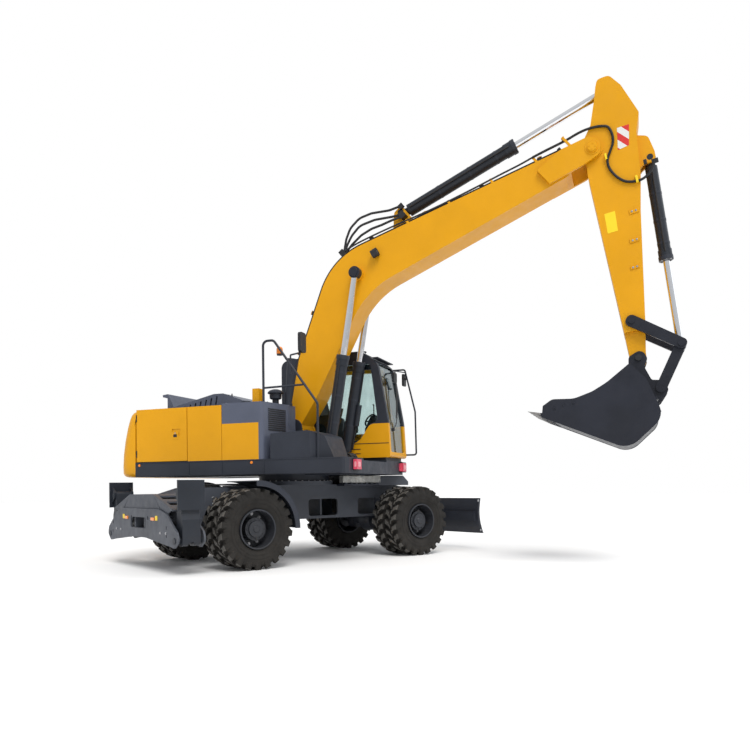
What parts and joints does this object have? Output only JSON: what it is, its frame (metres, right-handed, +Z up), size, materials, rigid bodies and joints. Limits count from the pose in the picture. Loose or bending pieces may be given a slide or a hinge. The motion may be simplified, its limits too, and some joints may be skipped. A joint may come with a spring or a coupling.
{
  "type": "wheeled excavator",
  "caption": "Road-going hydraulic excavator with a swinging upper body, cab, boom, arm and bucket on a four-corner twin-tyre undercarriage with dozer blade and outriggers.",
  "frame": {"origin": "on the ground under the swing centre", "axes": "+Z up, +X along the undercarriage to its dozer blade, +Y to the undercarriage's left"},
  "size_m": [5.6912, 7.4725, 6.416],
  "materials": {
    "yellow_paint": "satin orange-yellow paint",
    "slate_paint": "satin blue-grey paint",
    "dark_paint": "matt dark grey paint",
    "navy_paint": "satin dark blue-grey paint, worn at the edges",
    "chrome": "polished hard chrome",
    "tyre": "matt dusty tread rubber",
    "rim_paint": "satin dark grey paint",
    "engine_grey": "matt cast",
    "lamp_lens": "gloss lens",
    "beacon_lens": "gloss amber lens",
    "window_glass": "clear, slightly green",
    "cab_plastic": "grained dark plastic",
    "pipe_black": "satin black"
  },
  "bodies": {
    "chassis": {"chassis_frame": "slate_paint", "rear_crossmember": "slate_paint", "rear_axle": "slate_paint", "front_axle": "slate_paint", "mudguards": "slate_paint"},
    "knuckle_right": {"knuckle_right": "slate_paint"},
    "knuckle_left": {"knuckle_left": "slate_paint"},
    "wheels_front_right": {"tyres_front_right": "tyre", "rims_front_right": "rim_paint"},
    "wheels_front_left": {"tyres_front_left": "tyre", "rims_front_left": "rim_paint"},
    "wheels_rear_right": {"tyres_rear_right": "tyre", "rims_rear_right": "rim_paint"},
    "wheels_rear_left": {"tyres_rear_left": "tyre", "rims_rear_left": "rim_paint"},
    "blade": {"blade": "slate_paint"},
    "blade_barrels": {"blade_barrels": "slate_paint"},
    "blade_rods": {"blade_rods": "chrome"},
    "upper": {"upper_frame": "slate_paint", "counterweight": "yellow_paint", "engine_block": "engine_grey", "side_panels": "yellow_paint", "tank": "slate_paint", "beacon": "beacon_lens", "hood_deck": "slate_paint", "step_box": "slate_paint", "handrails": "slate_paint", "stacks": "dark_paint", "lamps": "lamp_lens", "mirrors": "slate_paint", "cab_lower": "yellow_paint", "cab_frame": "slate_paint", "cab_glass": "window_glass", "cab_interior": "cab_plastic"},
    "cab_door": {"cab_door": "yellow_paint", "cab_door_glass": "window_glass"},
    "door_right": {"door_right": "yellow_paint"},
    "door_left": {"door_left": "yellow_paint"},
    "hood": {"hood": "dark_paint"},
    "boom": {"boom": "yellow_paint", "boom_fittings": "pipe_black"},
    "boom_barrels": {"boom_barrels": "slate_paint"},
    "boom_rods": {"boom_rods": "chrome"},
    "arm": {"arm": "yellow_paint"},
    "arm_barrel": {"arm_barrel": "slate_paint"},
    "arm_rod": {"arm_rod": "chrome"},
    "bucket": {"bucket": "navy_paint"},
    "bucket_barrel": {"bucket_barrel": "slate_paint"},
    "bucket_rod": {"bucket_rod": "chrome"},
    "rocker": {"rocker": "navy_paint"},
    "link": {"link": "navy_paint"},
    "outrigger_leg_right": {"outrigger_leg_right": "slate_paint"},
    "outrigger_foot_right": {"outrigger_foot_right": "slate_paint"},
    "outrigger_barrel_right": {"outrigger_barrel_right": "slate_paint"},
    "outrigger_rod_right": {"outrigger_rod_right": "chrome"},
    "outrigger_leg_left": {"outrigger_leg_left": "slate_paint"},
    "outrigger_foot_left": {"outrigger_foot_left": "slate_paint"},
    "outrigger_barrel_left": {"outrigger_barrel_left": "slate_paint"},
    "outrigger_rod_left": {"outrigger_rod_left": "chrome"}
  },
  "joints": [
    {"name": "slew", "type": "hinge", "parent": "chassis", "child": "upper", "pos_m": [0, 0, 1.17], "axis": [0, 0, 1], "continuous": true},
    {"name": "steer_right", "type": "hinge", "parent": "chassis", "child": "knuckle_right", "pos_m": [1.54, -0.56, 0.535], "axis": [0, 0, 1], "range_deg": [-28, 28]},
    {"name": "wheel_front_right", "type": "hinge", "parent": "knuckle_right", "child": "wheels_front_right", "pos_m": [1.54, -0.94, 0.535], "axis": [0, 1, 0], "continuous": true},
    {"name": "wheel_rear_right", "type": "hinge", "parent": "chassis", "child": "wheels_rear_right", "pos_m": [-1.33, -0.94, 0.535], "axis": [0, 1, 0], "continuous": true},
    {"name": "steer_left", "type": "hinge", "parent": "chassis", "child": "knuckle_left", "pos_m": [1.54, 0.56, 0.535], "axis": [0, 0, 1], "range_deg": [-28, 28]},
    {"name": "wheel_front_left", "type": "hinge", "parent": "knuckle_left", "child": "wheels_front_left", "pos_m": [1.54, 0.94, 0.535], "axis": [0, 1, 0], "continuous": true},
    {"name": "wheel_rear_left", "type": "hinge", "parent": "chassis", "child": "wheels_rear_left", "pos_m": [-1.33, 0.94, 0.535], "axis": [0, 1, 0], "continuous": true},
    {"name": "blade_lift", "type": "hinge", "parent": "chassis", "child": "blade", "pos_m": [2.18, 0, 0.56], "axis": [0, 1, 0], "range_deg": [-10, 30]},
    {"name": "blade_barrels_swing", "type": "hinge", "parent": "chassis", "child": "blade_barrels", "pos_m": [2.19, 0, 1.01], "axis": [0, -1, 0], "range_deg": [-15.73, 5.24]},
    {"name": "blade_rods_slide", "type": "slide", "parent": "blade_barrels", "child": "blade_rods", "axis": [0.7724, 0, -0.6351], "range_m": [-0.05749, 0.17228]},
    {"name": "outrigger_right", "type": "hinge", "parent": "chassis", "child": "outrigger_leg_right", "pos_m": [-2.265, -1.165, 0.44], "axis": [1, 0, 0], "range_deg": [0, 138]},
    {"name": "outrigger_foot_right", "type": "hinge", "parent": "outrigger_leg_right", "child": "outrigger_foot_right", "pos_m": [-2.265, -1.165, 1], "axis": [1, 0, 0], "range_deg": [-49, 1]},
    {"name": "outrigger_barrel_swing_right", "type": "hinge", "parent": "chassis", "child": "outrigger_barrel_right", "pos_m": [-2.265, -0.3, 0.7], "axis": [-1, 0, 0], "range_deg": [-0.5618, 0.0001]},
    {"name": "outrigger_rod_slide_right", "type": "slide", "parent": "outrigger_barrel_right", "child": "outrigger_rod_right", "axis": [0, -0.9828, -0.1848], "range_m": [-0.0001, 0.47445]},
    {"name": "outrigger_left", "type": "hinge", "parent": "chassis", "child": "outrigger_leg_left", "pos_m": [-2.265, 1.165, 0.44], "axis": [-1, 0, 0], "range_deg": [0, 138]},
    {"name": "outrigger_foot_left", "type": "hinge", "parent": "outrigger_leg_left", "child": "outrigger_foot_left", "pos_m": [-2.265, 1.165, 1], "axis": [-1, 0, 0], "range_deg": [-49, 1]},
    {"name": "outrigger_barrel_swing_left", "type": "hinge", "parent": "chassis", "child": "outrigger_barrel_left", "pos_m": [-2.265, 0.3, 0.7], "axis": [1, 0, 0], "range_deg": [-0.5618, 0.0001]},
    {"name": "outrigger_rod_slide_left", "type": "slide", "parent": "outrigger_barrel_left", "child": "outrigger_rod_left", "axis": [0, 0.9828, -0.1848], "range_m": [-0.0001, 0.47445]},
    {"name": "boom_lift", "type": "hinge", "parent": "upper", "child": "boom", "pos_m": [0.06773, -0.11096, 1.97], "axis": [-0.8536, -0.521, 0], "range_deg": [-72, 24]},
    {"name": "boom_barrels_swing", "type": "hinge", "parent": "upper", "child": "boom_barrels", "pos_m": [0.3819, -0.62565, 1.52], "axis": [-0.8536, -0.521, 0], "range_deg": [-71.51, 23.84]},
    {"name": "boom_rods_slide", "type": "slide", "parent": "boom_barrels", "child": "boom_rods", "axis": [0.0875, -0.1433, 0.9858], "range_m": [-0.84709, 0.28243]},
    {"name": "arm_swing", "type": "hinge", "parent": "boom", "child": "arm", "pos_m": [2.3593, -3.86516, 5.47486], "axis": [0.8536, 0.521, 0], "range_deg": [-72, 35]},
    {"name": "arm_barrel_swing", "type": "hinge", "parent": "boom", "child": "arm_barrel", "pos_m": [0.95352, -1.56211, 5.08038], "axis": [-0.8536, -0.521, 0], "range_deg": [-2.65, 5.46]},
    {"name": "arm_rod_slide", "type": "slide", "parent": "arm_barrel", "child": "arm_rod", "axis": [0.478, -0.7832, 0.3977], "range_m": [-0.91578, 0.44522]},
    {"name": "bucket_curl", "type": "hinge", "parent": "arm", "child": "bucket", "pos_m": [2.6261, -4.30225, 2.68751], "axis": [0.8536, 0.521, 0], "range_deg": [-112, 55]},
    {"name": "rocker_swing", "type": "hinge", "parent": "arm", "child": "rocker", "pos_m": [2.58748, -4.23897, 3.16294], "axis": [-0.8536, -0.521, 0], "range_deg": [-33.29, 67.79]},
    {"name": "link_swing", "type": "hinge", "parent": "bucket", "child": "link", "pos_m": [2.76504, -4.52986, 2.29131], "axis": [-0.8536, -0.521, 0], "range_deg": [-92.1, 45.23]},
    {"name": "bucket_barrel_swing", "type": "hinge", "parent": "arm", "child": "bucket_barrel", "pos_m": [2.72515, -4.46451, 5.29986], "axis": [-0.8536, -0.521, 0], "range_deg": [-2.76, 5.63]},
    {"name": "bucket_rod_slide", "type": "slide", "parent": "bucket_barrel", "child": "bucket_rod", "axis": [0.0668, -0.1095, -0.9917], "range_m": [-0.61248, 0.30082]},
    {"name": "cab_door", "type": "hinge", "parent": "upper", "child": "cab_door", "pos_m": [1.05512, 0.71669, 2.3], "axis": [0, 0, 1], "range_deg": [0, 165]},
    {"name": "door_left", "type": "hinge", "parent": "upper", "child": "door_left", "pos_m": [0.04784, 2.32081, 1.87], "axis": [0, 0, 1], "range_deg": [0, 110]},
    {"name": "door_right", "type": "hinge", "parent": "upper", "child": "door_right", "pos_m": [-2.08603, 1.01828, 1.87], "axis": [0, 0, -1], "range_deg": [0, 110]},
    {"name": "hood", "type": "hinge", "parent": "upper", "child": "hood", "pos_m": [-0.99669, 1.63284, 2.2733], "axis": [-0.8536, -0.521, 0], "range_deg": [0, 60]}
  ],
  "couplings": [
    {"joint": "steer_left", "follows": "steer_right", "ratio": 1},
    {"joint": "blade_barrels_swing", "follows": "blade_lift", "ratio": -0.51901},
    {"joint": "blade_rods_slide", "follows": "blade_lift", "m_per_rad": 0.32559},
    {"joint": "outrigger_foot_right", "follows": "outrigger_right", "ratio": -0.348},
    {"joint": "outrigger_barrel_swing_right", "follows": "outrigger_right", "ratio": -0.00403},
    {"joint": "outrigger_rod_slide_right", "follows": "outrigger_right", "m_per_rad": 0.195},
    {"joint": "outrigger_foot_left", "follows": "outrigger_left", "ratio": -0.348},
    {"joint": "outrigger_barrel_swing_left", "follows": "outrigger_left", "ratio": -0.00403},
    {"joint": "outrigger_rod_slide_left", "follows": "outrigger_left", "m_per_rad": 0.195},
    {"joint": "boom_barrels_swing", "follows": "boom_lift", "ratio": 0.98332},
    {"joint": "boom_rods_slide", "follows": "boom_lift", "m_per_rad": 0.66734},
    {"joint": "arm_barrel_swing", "follows": "arm_swing", "ratio": -0.07508},
    {"joint": "arm_rod_slide", "follows": "arm_swing", "m_per_rad": 0.72146},
    {"joint": "rocker_swing", "follows": "bucket_curl", "ratio": -0.59925},
    {"joint": "link_swing", "follows": "bucket_curl", "ratio": 0.81418},
    {"joint": "bucket_barrel_swing", "follows": "bucket_curl", "ratio": -0.04974},
    {"joint": "bucket_rod_slide", "follows": "bucket_curl", "m_per_rad": 0.31017}
  ]
}
